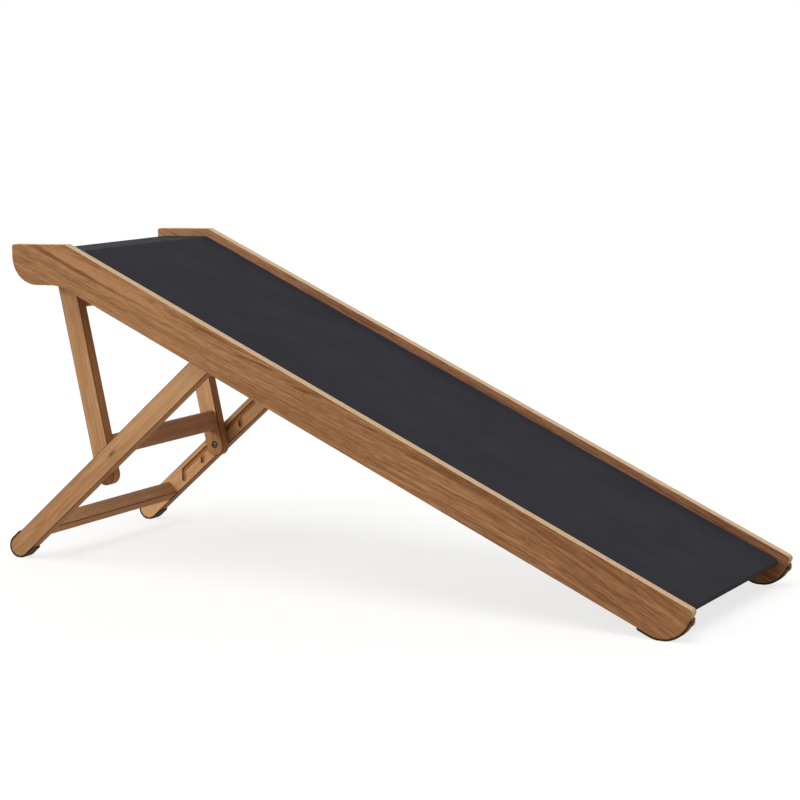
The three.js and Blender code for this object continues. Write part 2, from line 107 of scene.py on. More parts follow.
def mix_colour(tree, factor, first, second, mode="MIX"):
    """Mixes two colours, or multiplies the first by the second, by a factor from 0 to 1."""
    sockets = {0: factor, 6: first, 7: second}
    return add(tree, "ShaderNodeMix", sockets, data_type="RGBA", blend_type=mode).outputs[2]


def seen_by_eye(tree):
    """1 for rays from the camera and for those that gloss or glass sends on, otherwise 0."""
    ray = add(tree, "ShaderNodeLightPath").outputs
    seen = calculate(tree, "MAXIMUM", ray["Is Camera Ray"], ray["Is Glossy Ray"])
    return calculate(tree, "MAXIMUM", seen, ray["Is Transmission Ray"])


for name, (strength, direction, spread_angle) in suns.items():
    data = bpy.data.lights.new(name, "SUN")
    data.energy = strength
    data.angle = spread_angle
    sun = bpy.data.objects.new(name, data)
    sun.rotation_euler = Vector(direction).to_track_quat("-Z", "Y").to_euler()
    bpy.context.scene.collection.objects.link(sun)

sky = bpy.data.worlds.new("sky")
sky.use_nodes = True
bpy.context.scene.world = sky
sky_tree = sky.node_tree
seen = seen_by_eye(sky_tree)
strength = calculate(sky_tree, "MULTIPLY_ADD", seen, 1 - sky_strength, sky_strength)
sky_shader = sky_tree.nodes["Background"]
sky_tree.links.new(mix_colour(sky_tree, seen, sky_tone, white), sky_shader.inputs["Color"])
sky_tree.links.new(strength, sky_shader.inputs["Strength"])

floor_mesh = bpy.data.meshes.new("floor")
half = floor_size / 2
floor_corners = [(-half, -half, 0), (half, -half, 0), (half, half, 0), (-half, half, 0)]
floor_mesh.from_pydata(floor_corners, [], [range(len(floor_corners))])
floor = bpy.data.objects.new("floor", floor_mesh)
bpy.context.scene.collection.objects.link(floor)
floor_material = bpy.data.materials.new("studio floor")
floor_material.use_nodes = True
floor_tree = floor_material.node_tree
floor_tree.nodes.clear()
seen = seen_by_eye(floor_tree)
share = calculate(floor_tree, "MULTIPLY", seen, 1 - floor_shadow_share)
floor_colour = mix_colour(floor_tree, seen, floor_bounce_tone, floor_seen_tone)
matte = add(floor_tree, "ShaderNodeBsdfDiffuse", {"Color": floor_colour}).outputs[0]
glow = add(floor_tree, "ShaderNodeEmission", {"Color": white, "Strength": 1}).outputs[0]
mixed = add(floor_tree, "ShaderNodeMixShader", {0: share, 1: matte, 2: glow}).outputs[0]
add(floor_tree, "ShaderNodeOutputMaterial", {"Surface": mixed})
floor_mesh.materials.append(floor_material)
bpy.context.scene.view_settings.view_transform = "Standard"

# Side rails. One oiled hardwood plank each, sawn to shape with the grain along the slope and
# let in for the deck. The broad faces are warm brown and streaked, the sanded narrow ones pale.
slope_angle = math.radians(23.787)
rail_bend = Vector((-0.42505, 0, 0.47018))
smooth_angle = math.radians(32)
wood_gloss = 0.04
wood_roughness = 0.5
fibre_roughness = 0.08
wood_relief = {"Strength": 0.2, "Distance": 0.0002}
# The tone that darkens a leg's real dark spots and paints shade at a brace leg's end.
mark_and_painted_shade_tone = (0.52, 0.42, 0.34, 1)
middle_grey = (0.5, 0.5, 0.5)
sideways = (0, 1, 0)


def tone(red, green, blue):
    """A colour as it is read off a screen, from 0 to 255, in Blender's linear values."""
    share = (value / 255 for value in (red, green, blue))
    return (*(((value + 0.055) / 1.055) ** 2.4 if value > 0.04 else value / 12.92 for value in share), 1)


def on_vectors(tree, operation, *values, output=0):
    """The result of one step of vector arithmetic, as a socket."""
    return add(tree, "ShaderNodeVectorMath", dict(enumerate(values)), operation=operation).outputs[output]


def noise(tree, vector, factors, detail=2, roughness=0.5):
    """Noise whose detail has the given number of waves in a metre, along each axis."""
    sockets = {"Vector": on_vectors(tree, "MULTIPLY", vector, factors), "Scale": 1}
    sockets |= {"Detail": detail, "Roughness": roughness}
    return add(tree, "ShaderNodeTexNoise", sockets).outputs


def spread(tree, value, low, high, to_low=0, to_high=1):
    """Maps a value from one range to another, smoothly and without going past its ends."""
    sockets = {"Value": value, "From Min": low, "From Max": high, "To Min": to_low, "To Max": to_high}
    return add(tree, "ShaderNodeMapRange", sockets, interpolation_type="SMOOTHSTEP").outputs[0]


def new_material(name):
    """A new material, with its node tree, its shader, and the places and normals on its piece."""
    material = bpy.data.materials.new(name)
    material.use_nodes = True
    tree = material.node_tree
    return material, tree, tree.nodes["Principled BSDF"], add(tree, "ShaderNodeTexCoord").outputs


def facing(tree, spot, axis=sideways):
    """How squarely a face looks along an axis, either way, from 0 to 1."""
    along = on_vectors(tree, "DOT_PRODUCT", spot["Normal"], axis, output="Value")
    return calculate(tree, "ABSOLUTE", along)


def add_relief(tree, shader, height, relief):
    """Roughens a surface by a height, with the strength and the distance of a relief."""
    bump = add(tree, "ShaderNodeBump", {"Height": height} | relief)
    tree.links.new(bump.outputs[0], shader.inputs["Normal"])


def new_group(name, inputs, outputs):
    """A new node group, with the sockets of its input and of its output."""
    tree = bpy.data.node_groups.new(name, "ShaderNodeTree")
    for label, kind, value in inputs:
        socket = tree.interface.new_socket(label, in_out="INPUT", socket_type=kind)
        if value is not None:
            socket.default_value = value
    for label, kind in outputs:
        tree.interface.new_socket(label, in_out="OUTPUT", socket_type=kind)
    return tree, tree.nodes.new("NodeGroupInput").outputs, tree.nodes.new("NodeGroupOutput").inputs


grain_shares = (0.26, 0.34)
sway_noise = {"factors": (2.2, 11, 11)}
sway_reach = (0, 0.02, 0.02)
band_noise = {"factors": (3, 170, 170), "detail": 3}
band_limits = (0.28, 0.72)
line_noise = {"factors": (8, 560, 560)}
line_limits = (0.3, 0.7)
fibre_noise = {"factors": (38, 900, 900), "roughness": 0.6}
fibre_limits = (0.3, 0.7)
pore_noise = {"factors": (70, 1300, 1300), "detail": 1}
pore_limits = (0.6, 0.72)


def make_grain():
    """Grain of a sawn board whose X runs along the fibres: bands, lines, fibres and pores."""
    tree, given, result = new_group(
        "board grain",
        [
            ("Place", "NodeSocketVector", None),
            ("Band share", "NodeSocketFloat", grain_shares[0]),
            ("Line share", "NodeSocketFloat", grain_shares[1]),
        ],
        [("Figure", "NodeSocketFloat"), ("Pores", "NodeSocketFloat"), ("Height", "NodeSocketFloat")],
    )
    place = given["Place"]
    sway = on_vectors(tree, "SUBTRACT", noise(tree, place, **sway_noise)["Color"], middle_grey)
    swayed = on_vectors(tree, "MULTIPLY_ADD", sway, sway_reach, place)
    band = spread(tree, noise(tree, swayed, **band_noise)["Fac"], *band_limits)
    line = spread(tree, noise(tree, swayed, **line_noise)["Fac"], *line_limits)
    fibre = spread(tree, noise(tree, swayed, **fibre_noise)["Fac"], *fibre_limits)
    figure = calculate(tree, "SUBTRACT", 1, given["Band share"])
    figure = calculate(tree, "SUBTRACT", figure, given["Line share"])
    figure = calculate(tree, "MULTIPLY", figure, fibre)
    figure = calculate(tree, "MULTIPLY_ADD", band, given["Band share"], figure)
    figure = calculate(tree, "MULTIPLY_ADD", line, given["Line share"], figure)
    pores = spread(tree, noise(tree, swayed, **pore_noise)["Fac"], *pore_limits)
    height = calculate(tree, "SUBTRACT", fibre, pores)
    for label, socket in (("Figure", figure), ("Pores", pores), ("Height", height)):
        tree.links.new(socket, result[label])
    return tree


board_grain = make_grain()
streak_noise = {"factors": (14, 160, 160), "detail": 4, "roughness": 0.7}
streak_reach = (0.05, 0, 0.007)
streak_fade = (1.15, 0.3)
side_view = (1, 0, 1)


def add_streaks(tree, place, figure, streaks):
    """Lays long soft streaks over a figure. Each runs from a start to an end, both in metres
    along the fibres and down from the top edge, and has a width and a strength, which is
    below zero for a dark one."""
    wave = noise(tree, place, **streak_noise)["Color"]
    wave = on_vectors(tree, "SUBTRACT", wave, middle_grey)
    waved = on_vectors(tree, "MULTIPLY_ADD", wave, streak_reach, place)
    flat_place = on_vectors(tree, "MULTIPLY", waved, side_view)
    for start, end, width, amount in streaks:
        middle = ((start[0] + end[0]) / 2, 0, -(start[1] + end[1]) / 2)
        run, drop = end[0] - start[0], end[1] - start[1]
        sockets = {"Vector": flat_place, "Location": middle, "Rotation": (0, math.atan2(drop, run), 0)}
        sockets["Scale"] = (math.hypot(run, drop) / 2, 1, width / 2)
        local = add(tree, "ShaderNodeMapping", sockets, vector_type="TEXTURE").outputs[0]
        inside = spread(tree, on_vectors(tree, "LENGTH", local, output="Value"), *streak_fade)
        figure = calculate(tree, "MULTIPLY_ADD", inside, amount, figure)
    return figure


def follow_curve(tree, place, rise, fall_start, fall):
    """Bends a board's grain: it rises by a share of its run, and from a place on falls again."""
    along = add(tree, "ShaderNodeSeparateXYZ", {0: place}).outputs["X"]
    beyond = calculate(tree, "MAXIMUM", calculate(tree, "SUBTRACT", along, fall_start), 0)
    beyond = calculate(tree, "MULTIPLY", calculate(tree, "MULTIPLY", beyond, beyond), fall)
    lift = calculate(tree, "SUBTRACT", beyond, calculate(tree, "MULTIPLY", along, rise))
    return on_vectors(tree, "ADD", place, add(tree, "ShaderNodeCombineXYZ", {"Z": lift}).outputs[0])


dark_limits = (0.12, 0.5)
light_limits = (0.5, 0.88)
narrow_limits = (0.85, 0.45)
vein_limits = (0.1, 0.9, 0.94, 1.04)
arris_painted_shade_inner_limits = (0.05, 0.3)
arris_painted_shade_outer_limits = (0.99, 0.93)
pore_share = 0.45


def shaded(tree, factor, colour, shade):
    """Multiplies a colour by a shade, as far as a factor from 0 to 1 says."""
    return mix_colour(tree, factor, colour, mix_colour(tree, 1, colour, shade, "MULTIPLY"))


def make_wood(name, tones, turn, shift, streaks=(), curve=None, shares=grain_shares, **parts):
    """Oiled wood. tones run from its dark streaks to its light ones, turn lays X along the fibres,
    shift moves the piece about in the tree, and shares weigh its bands and lines. Among its parts,
    across is the axis that its broad faces look along, narrow the tone of its other faces: the real
    pale edges of a rail, painted warm bounce light on the legs and painted light on the prop
    stretcher. arris is painted shade on its rounded edges, pores is how dark its pores are, the
    marks part holds streaks that darken it, real dark spots on a leg and painted shade at a brace
    leg's end, and recess is painted shade on the groove that a function finds in it."""
    material, tree, shader, spot = new_material(name)
    sockets = {"Vector": spot["Object"], "Rotation": turn, "Location": shift}
    place = add(tree, "ShaderNodeMapping", sockets).outputs[0]
    followed = follow_curve(tree, place, *curve) if curve else place
    sockets = {"Place": followed, "Band share": shares[0], "Line share": shares[1]}
    grain = add(tree, "ShaderNodeGroup", sockets, node_tree=board_grain).outputs
    figure = grain["Figure"]
    if streaks:
        figure = add_streaks(tree, place, figure, streaks)
    dark, middle, light = tones
    colour = mix_colour(tree, spread(tree, figure, *dark_limits), dark, middle)
    colour = mix_colour(tree, spread(tree, figure, *light_limits), colour, light)
    if "marks_and_painted_shade" in parts:
        colour = shaded(tree, add_streaks(tree, place, 0, parts["marks_and_painted_shade"]), colour, mark_and_painted_shade_tone)
    side_on = facing(tree, spot, parts.get("across", sideways))
    if "narrow" in parts:
        veins = spread(tree, figure, *vein_limits)
        veined = mix_colour(tree, 1, parts["narrow"], veins, "MULTIPLY")
        colour = mix_colour(tree, spread(tree, side_on, *narrow_limits), colour, veined)
    # Painted shade along the rounded edges.
    if "arris" in parts:
        edge = spread(tree, side_on, *arris_painted_shade_outer_limits)
        edge = calculate(tree, "MULTIPLY", spread(tree, side_on, *arris_painted_shade_inner_limits), edge)
        colour = shaded(tree, edge, colour, parts["arris"])
    # Painted shade on the groove's floor.
    if "recess" in parts:
        find, shade = parts["recess"]
        inside = calculate(tree, "MULTIPLY", find(tree, spot["Object"]), side_on)
        colour = shaded(tree, inside, colour, shade)
    pored = calculate(tree, "MULTIPLY", grain["Pores"], parts.get("pores", pore_share))
    tree.links.new(shaded(tree, pored, colour, dark), shader.inputs["Base Color"])
    roughness = calculate(tree, "MULTIPLY_ADD", grain["Height"], fibre_roughness, wood_roughness)
    tree.links.new(roughness, shader.inputs["Roughness"])
    shader.inputs["Specular IOR Level"].default_value = wood_gloss
    add_relief(tree, shader, grain["Height"], wood_relief)
    return material


def soften(piece):
    """Shades a piece's rounded edges smooth and keeps its broad faces flat."""
    piece.data.shade_smooth()
    piece.data.set_sharp_from_angle(angle=smooth_angle)
    piece.modifiers.new("flat faces", "WEIGHTED_NORMAL").keep_sharp = True


def dress(name, material):
    """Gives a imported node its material."""
    mesh = nodes[name].data
    mesh.materials.clear()
    mesh.materials.append(material)
    if "custom_normal" in mesh.attributes:
        mesh.attributes.remove(mesh.attributes["custom_normal"])
    soften(nodes[name])


def place_from(turn, spot):
    """The shift that puts the zero of a piece's own places at a spot of the ramp."""
    return -(Matrix.Rotation(turn[1], 3, "Y") @ spot)


left_rail_tones = (tone(109, 73, 47), tone(133, 95, 63), tone(157, 116, 80))
right_rail_tones = (tone(103, 67, 44), tone(130, 90, 64), tone(157, 114, 84))
rail_narrow = tone(193, 165, 130)
rail_turn = (0, -slope_angle, 0)
# The left plank's broad paler and darker stretches, then its single streaks and one small knot.
left_rail_streaks = [
    ((-0.60, 0.030), (0.62, 0.030), 0.700, 0.12),
    ((0.45, 0.030), (1.60, 0.030), 0.700, -0.1),
    ((0.450, 0.030), (0.850, 0.030), 0.100, 0.06),
    ((-0.045, 0.020), (0.195, 0.013), 0.016, 0.45),
    ((-0.030, 0.019), (0.070, 0.016), 0.010, 0.25),
    ((-0.065, 0.027), (0.140, 0.023), 0.007, -0.5),
    ((0.180, 0.010), (0.340, 0.004), 0.007, -0.5),
    ((0.305, 0.016), (0.400, 0.001), 0.006, -0.5),
    ((0.395, 0.015), (0.475, 0.002), 0.005, -0.45),
    ((0.495, 0.012), (0.570, 0.004), 0.005, -0.35),
    ((0.550, 0.009), (0.810, 0.006), 0.013, -0.3),
    ((0.780, 0.010), (1.080, 0.009), 0.018, -0.15),
    ((0.910, 0.020), (1.050, 0.021), 0.004, 0.3),
    ((0.570, 0.041), (0.700, 0.041), 0.004, 0.25),
    ((0.700, 0.041), (0.900, 0.040), 0.004, 0.25),
    ((0.840, 0.021), (1.060, 0.041), 0.004, -0.25),
    ((0.870, 0.040), (1.010, 0.051), 0.004, -0.25),
    ((0.808, 0.031), (0.817, 0.031), 0.003, -0.5),
]
left_rail_curve = (0.044, 0.72, 0.29)
left_rail_grain = {"streaks": left_rail_streaks, "curve": left_rail_curve, "narrow": rail_narrow}
left_shift = place_from(rail_turn, rail_bend)
other_plank = Vector((0, 0.7, 0))
right_shift = left_shift + other_plank
right_rail_streaks = [
    ((-0.25, 0.020), (0.29, 0.020), 0.400, 0.30),
    ((0.90, 0.020), (1.60, 0.020), 0.400, -0.2),
]
right_rail_grain = {"streaks": right_rail_streaks, "narrow": rail_narrow}
dress("left_rail", make_wood("left rail", left_rail_tones, rail_turn, left_shift, **left_rail_grain))
dress("right_rail", make_wood("right rail", right_rail_tones, rail_turn, right_shift, **right_rail_grain))

# Deck boards. Two boards of birch plywood under the mat, stained brown beneath, whose side edges
# are let into grooves in the rails.
board_tones = (tone(120, 84, 54), tone(150, 110, 74), tone(172, 131, 92))
board_shifts = {"deck_board": (0.2, 0.35, 0.4), "platform_board": (0.9, 0.3, 0.2)}
for name, shift in board_shifts.items():
    dress(name, make_wood(name, board_tones, rail_turn, shift))

# Crossbars. Two square hardwood bars under the boards, held between the rails by a dowel at each
# end. All the dowels of the ramp and its frames are plain beech.
bar_tones = (tone(112, 74, 48), tone(142, 98, 66), tone(165, 121, 84))
bar_turn = (0, 0, -math.pi / 2)
bar_shifts = {"head_crossbar": (0, 0.2, 0.1), "foot_crossbar": (0.4, 0.2, 0.1)}
for name, shift in bar_shifts.items():
    dress(name, make_wood(name.replace("_", " "), bar_tones, bar_turn, shift))
dowel_tones = (tone(168, 132, 92), tone(196, 160, 118), tone(214, 182, 142))
dowel_shift = (0.3, 0.1, 0.2)
dowel_wood = make_wood("beech dowel", dowel_tones, bar_turn, dowel_shift)
for name in nodes:
    if "dowel" in name:
        dress(name, dowel_wood)

# Deck mat. One charcoal mat of short dense pile, glued over both boards, bent with them at the
# top of the slope, and turned round their ends and under them.
mat_thickness = 0.002
mat_depth = 0.0105
mat_under = 0.02
mat_corner = 0.0028
mat_head_round = (0.013, 0.0074)
mat_foot_round = (0.004, 0.004)
mat_bend_radius = 0.012
mat_edge_round = 0.0008
mat_steps = 8
mat_tone = tone(46, 46, 51)
mat_gloss = 0.04
mat_roughness = 0.95
# A painted sheen lightens the pile where it turns down at the mat's ends.
mat_end_painted_sheen = 1.45
mat_end_sheen_limits = (0.5, 0.85)
pile_cloud_noise = {"factors": (14, 14, 14), "detail": 3}
pile_cloud_limits = (0.3, 0.7, 0.93, 1.07)
pile_fleck_noise = {"factors": (900, 900, 900)}
pile_fleck_limits = (0.2, 0.8, 0.9, 1.1)
pile_relief = {"Strength": 0.4, "Distance": 0.0005}
nose_tilt = math.radians(2.013)
quarter_turns = [math.pi / 2 * index / mat_steps for index in range(mat_steps + 1)]


def mat_end(corners, bend, tilt, way, end_round):
    """One end of the mat from its top face round to the edge beneath, in the side view. Its face
    falls towards +X at a tilt, and the end lies that way, or the other way where way is -1."""
    ahead = Vector((way * math.cos(tilt), 0, -way * math.sin(tilt)))
    down = Vector((-math.sin(tilt), 0, -math.cos(tilt)))
    reach = max(ahead.dot(corner - bend) for corner in corners)
    run, drop = end_round
    along, depth = reach - mat_corner, mat_depth - mat_corner
    places = [(reach - run + run * math.sin(turn), drop - drop * math.cos(turn)) for turn in quarter_turns]
    for turn in quarter_turns:
        places.append((along + mat_corner * math.cos(turn), depth + mat_corner * math.sin(turn)))
    places.append((reach - mat_under, mat_depth))
    return [bend + ahead * along + down * depth for along, depth in places]


def mat_bend_round(bend):
    """The rounded bend, from the level head to the slope, in the side view."""
    middle = (slope_angle - nose_tilt) / 2
    half = (slope_angle + nose_tilt) / 2
    centre = bend - Vector((math.sin(middle), 0, math.cos(middle))) * mat_bend_radius / math.cos(half)
    turns = [2 * half * index / mat_steps - nose_tilt for index in range(mat_steps + 1)]
    return [centre + Vector((math.sin(turn), 0, math.cos(turn))) * mat_bend_radius for turn in turns]


def outward(line):
    """The way out of the mat at each point of its side view, lengthened at corners."""
    steps = [(after - before).normalized() for before, after in zip(line, line[1:])]
    normals = [Vector((-step.z, 0, step.x)) for step in steps]
    ways = []
    for before, after in zip([normals[0], *normals], [*normals, normals[-1]]):
        middle = (before + after).normalized()
        ways.append(middle / middle.dot(after))
    return ways


def mat_section(half):
    """The mat's cross-section: places across, each with its depth below the top face."""
    edge = [
        (half - mat_edge_round * (1 - math.sin(turn)), mat_edge_round * (1 - math.cos(turn)))
        for turn in quarter_turns
    ]
    left_edge = [(-across, depth) for across, depth in reversed(edge)]
    return [*left_edge, *edge, (half, mat_thickness), (-half, mat_thickness)]


def swept(name, rows):
    """A closed shell whose skin joins rows of points, each row once round the piece."""
    count = len(rows[0])
    faces = [
        (row * count + place, row * count + after, (row + 1) * count + after, (row + 1) * count + place)
        for row in range(len(rows) - 1)
        for place, after in zip(range(count), [*range(1, count), 0])
    ]
    last = (len(rows) - 1) * count
    faces += [tuple(reversed(range(count))), tuple(range(last, last + count))]
    mesh = bpy.data.meshes.new(name)
    mesh.from_pydata([point for row in rows for point in row], [], faces)
    piece = bpy.data.objects.new(name, mesh)
    bpy.context.scene.collection.objects.link(piece)
    return piece


def make_mat():
    """The mat and its flat width and length."""
    corners = [vertex.co.copy() for vertex in nodes["deck_mat"].data.vertices]
    bend = max(corners, key=lambda corner: corner.z) * Vector((1, 0, 1))
    head = mat_end(corners, bend, -nose_tilt, -1, mat_head_round)
    foot = mat_end(corners, bend, slope_angle, 1, mat_foot_round)
    line = [*reversed(head), *mat_bend_round(bend), *foot]
    ways = outward(line)
    middle = [point - way * mat_thickness / 2 for point, way in zip(line, ways)]
    length = sum((after - before).length for before, after in zip(middle, middle[1:]))
    low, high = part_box("deck_mat")
    width = high.y - low.y
    section = mat_section(width / 2)
    rows = [
        [point - way * depth + Vector((0, across, 0)) for across, depth in section]
        for point, way in zip(line, ways)
    ]
    return swept("mat", rows), (width, length)


def make_pile():
    """Short charcoal pile, a little cloudy and flecked, with a painted sheen that lightens it where it
    turns down ahead.
    """
    material, tree, shader, spot = new_material("charcoal pile")
    place = spot["Object"]
    cloud = spread(tree, noise(tree, place, **pile_cloud_noise)["Fac"], *pile_cloud_limits)
    fleck = noise(tree, place, **pile_fleck_noise)["Fac"]
    forward = add(tree, "ShaderNodeSeparateXYZ", {0: spot["Normal"]}).outputs["X"]
    painted_sheen = spread(tree, forward, *mat_end_sheen_limits, 1, mat_end_painted_sheen)
    shade = calculate(tree, "MULTIPLY", cloud, spread(tree, fleck, *pile_fleck_limits))
    shade = calculate(tree, "MULTIPLY", shade, painted_sheen)
    tree.links.new(mix_colour(tree, 1, mat_tone, shade, "MULTIPLY"), shader.inputs["Base Color"])
    shader.inputs["Roughness"].default_value = mat_roughness
    shader.inputs["Specular IOR Level"].default_value = mat_gloss
    add_relief(tree, shader, fleck, pile_relief)
    return material


mat, mat_flat = make_mat()
mat.data.materials.append(make_pile())
soften(mat)
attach(mat, "ramp")
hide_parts("deck_mat")

# Rubber strips and shoes. Dark rubber glued and screwed round the rails' low ends and glued to
# the prop's feet. Its skin is an amber or olive brown; its side faces across the ramp are nearly black.
strip_skin = tone(128, 90, 48)
shoe_skin = tone(76, 62, 40)
rubber_side_tone = tone(42, 31, 18)
rubber_side_limits = (0.5, 0.8)
rubber_cloud_noise = {"factors": (60, 60, 60), "detail": 3}
rubber_cloud_limits = (0.3, 0.7, 0.85, 1.1)
rubber_roughness_limits = (0.2, 0.8, 0.6, 0.8)
rubber_fine_noise = {"factors": (1500, 1500, 1500)}
rubber_gloss = 0.08
rubber_relief = {"Strength": 0.2, "Distance": 0.0002}


def make_rubber(name, rubber_skin):
    """Cloudy rubber, nearly black on the faces that look along Y and in the colour of its skin elsewhere.
    """
    material, tree, shader, spot = new_material(name)
    cloud = noise(tree, spot["Object"], **rubber_cloud_noise)["Fac"]
    fine = noise(tree, spot["Object"], **rubber_fine_noise)["Fac"]
    side_share = spread(tree, facing(tree, spot), *rubber_side_limits)
    colour = mix_colour(tree, side_share, rubber_skin, rubber_side_tone)
    colour = mix_colour(tree, 1, colour, spread(tree, cloud, *rubber_cloud_limits), "MULTIPLY")
    tree.links.new(colour, shader.inputs["Base Color"])
    tree.links.new(spread(tree, cloud, *rubber_roughness_limits), shader.inputs["Roughness"])
    shader.inputs["Specular IOR Level"].default_value = rubber_gloss
    add_relief(tree, shader, fine, rubber_relief)
    return material


strip_rubber = make_rubber("amber rubber", strip_skin)
shoe_rubber = make_rubber("olive rubber", shoe_skin)
sides = ("left", "right")
for side in sides:
    dress(f"{side}_rail_pad", strip_rubber)
    dress(f"{side}_foot_shoe", shoe_rubber)

# Pad screws and notch bolts. Small turned steel pieces: round-headed screws with a cross recess
# in the rubber strips, and blackened bolts with a hexagon socket, whose tips sit in the notches.
turned_sides = 48
ahead = Vector((math.cos(slope_angle), 0, -math.sin(slope_angle)))
# Each fastener's first tone is a painted highlight on the faces that look along its axis, the second
# painted shade on the sides that turn away.
screw_painted_light = tone(196, 182, 158)
screw_painted_shade = tone(74, 62, 50)
bolt_painted_light = tone(88, 79, 68)
bolt_painted_shade = tone(40, 34, 28)
screw_rings = [(0, 0.0004), (0.004, 0.002), (0.0116, 0.002), (0.0116, 0.0038), (0.0122, 0.0042)]
screw_rings += [(0.0128, 0.0041), (0.0135, 0.0034), (0.0139, 0.0026)]
screw_full_length = screw_rings[-1][0]
cross_length = 0.0044
cross_width = 0.0013
cross_depth = 0.0012
bolt_tip_rings = [(0, 0.0024), (0.0006, 0.003)]
bolt_head_rings = [(-0.0035, 0.003), (-0.0035, 0.0044), (-0.0032, 0.0047), (-0.0014, 0.0047)]
bolt_head_rings += [(-0.0007, 0.0043), (-0.0002, 0.0036), (0, 0.0031)]
socket_across = 0.0034
socket_depth = 0.002
steel_lit_face_limits = (0.75, 0.97)
steel_cloud_noise = {"factors": (900, 900, 900), "detail": 3}
steel_cloud_limits = (0.3, 0.7, 0.82, 1.1)
steel_roughness_limits = (0.2, 0.8, 0.35, 0.55)
same_end = 1e-5


def hexagon(across):
    """The outline of a hexagon socket, as its reach at an angle."""
    sixth = math.pi / 3
    return lambda angle: across / 2 / math.cos((angle + sixth / 2) % sixth - sixth / 2)


def cross(length, width):
    """The outline of a cross recess, as its reach at an angle."""

    def reach(angle):
        eighth = math.pi / 4
        turn = eighth - abs(angle % (2 * eighth) - eighth)
        return min(length / 2 / math.cos(turn), width / 2 / max(math.sin(turn), width / length / 2))

    return reach


def turned(name, start, axis, rings):
    """A closed turned piece. Each ring has a height from the start, and a radius or an outline."""
    side = axis.orthogonal().normalized()
    up = axis.cross(side)
    angles = [2 * math.pi * index / turned_sides for index in range(turned_sides)]
    rows = []
    for height, radius in rings:
        reaches = [radius(angle) if callable(radius) else radius for angle in angles]
        centre = start + axis * height
        rows.append([
            centre + (side * math.cos(angle) + up * math.sin(angle)) * reach
            for angle, reach in zip(angles, reaches)
        ])
    return swept(name, rows)


def end_of(name, axis):
    """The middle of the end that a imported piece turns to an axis."""
    corners = [vertex.co for vertex in nodes[name].data.vertices]
    furthest = max(axis.dot(corner) for corner in corners)
    last = [corner for corner in corners if axis.dot(corner) > furthest - same_end]
    return sum(last, Vector()) / len(last)


def make_steel(name, face, shade, axis):
    """Steel with a painted highlight where it faces along an axis and painted shade where it turns away.
    """
    material, tree, shader, spot = new_material(name)
    cloud = noise(tree, spot["Object"], **steel_cloud_noise)["Fac"]
    lit_share = spread(tree, facing(tree, spot, axis), *steel_lit_face_limits)
    colour = mix_colour(tree, lit_share, shade, face)
    colour = mix_colour(tree, 1, colour, spread(tree, cloud, *steel_cloud_limits), "MULTIPLY")
    tree.links.new(colour, shader.inputs["Base Color"])
    tree.links.new(spread(tree, cloud, *steel_roughness_limits), shader.inputs["Roughness"])
    shader.inputs["Metallic"].default_value = 1
    return material


bolt_steel = make_steel("blackened steel", bolt_painted_light, bolt_painted_shade, sideways)
screw_steel = make_steel("zinced steel", screw_painted_light, screw_painted_shade, ahead)
screw_cross = cross(cross_length, cross_width)
bolt_socket = hexagon(socket_across)


def add_fastener(name, node, body, start, axis, rings, steel):
    """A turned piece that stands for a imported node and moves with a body."""
    piece = turned(name, start, axis, rings)
    piece.data.materials.append(steel)
    soften(piece)
    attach(piece, body)
    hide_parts(node)


for side, way in zip(sides, (1, -1)):
    node = f"{side}_rail_pad_screw"
    length = ahead.dot(end_of(node, ahead) - end_of(node, -ahead))
    rings = [(height / screw_full_length * length, radius) for height, radius in screw_rings]
    rings += [(length, screw_cross), (length - cross_depth, screw_cross)]
    start = end_of(node, ahead) - ahead * length
    add_fastener(f"{side}_pad_screw", node, "ramp", start, ahead, rings, screw_steel)
    node = f"notch_bolt_{side}"
    axis = Vector((0, way, 0))
    length = axis.dot(end_of(node, axis) - end_of(node, -axis))
    rings = bolt_tip_rings + [(length + height, radius) for height, radius in bolt_head_rings]
    rings += [(length, bolt_socket), (length - socket_depth, bolt_socket)]
    start = end_of(node, axis) - axis * length
    add_fastener(f"{side}_notch_bolt", node, "brace_frame", start, axis, rings, bolt_steel)

# Pivot bolts and threaded inserts. Plain steel bolts dulled by handling, which each frame turns
# on, and the inserts that they screw into, sunk in the rails.
# The first tone is a painted highlight on the faces that look along Y, the second painted shade elsewhere.
pivot_painted_light = tone(150, 148, 144)
pivot_painted_shade = tone(104, 102, 98)
pivot_steel = make_steel("dull steel", pivot_painted_light, pivot_painted_shade, sideways)
for name in nodes:
    if "pivot_bolt" in name or "insert" in name:
        dress(name, pivot_steel)

# Nylon washers and spacers. Turned from black rod and threaded on the pivot bolts, they hold the
# legs off the rails.
nylon_tones = (tone(34, 34, 35), tone(48, 48, 49))
nylon_noise = {"factors": (300, 300, 300)}
nylon_roughness = 0.55


def make_nylon():
    """Black nylon, a little uneven in its black."""
    material, tree, shader, spot = new_material("black nylon")
    cloud = noise(tree, spot["Object"], **nylon_noise)["Fac"]
    tree.links.new(mix_colour(tree, cloud, *nylon_tones), shader.inputs["Base Color"])
    shader.inputs["Roughness"].default_value = nylon_roughness
    return material


nylon = make_nylon()
for side in sides:
    dress(f"prop_pivot_washer_{side}", nylon)
    dress(f"brace_pivot_spacer_{side}", nylon)

# Prop frame. Two oiled hardwood legs hinged to the rails and joined by one stretcher on dowels. A
# groove with four notches is milled into each leg's inner face.
hinges = {joint["name"]: Vector(joint["pos_m"]) for joint in frame["joints"]}


def middle_of(name):
    """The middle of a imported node's box."""
    low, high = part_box(name)
    return (low + high) / 2


def tilt_from(start, end):
    """The turn about Y that lays X along a leg, seen from the side."""
    way = end - start
    return (0, math.atan2(way.z, way.x), 0)


leg_tones = (tone(144, 107, 73), tone(160, 122, 86), tone(173, 137, 99))
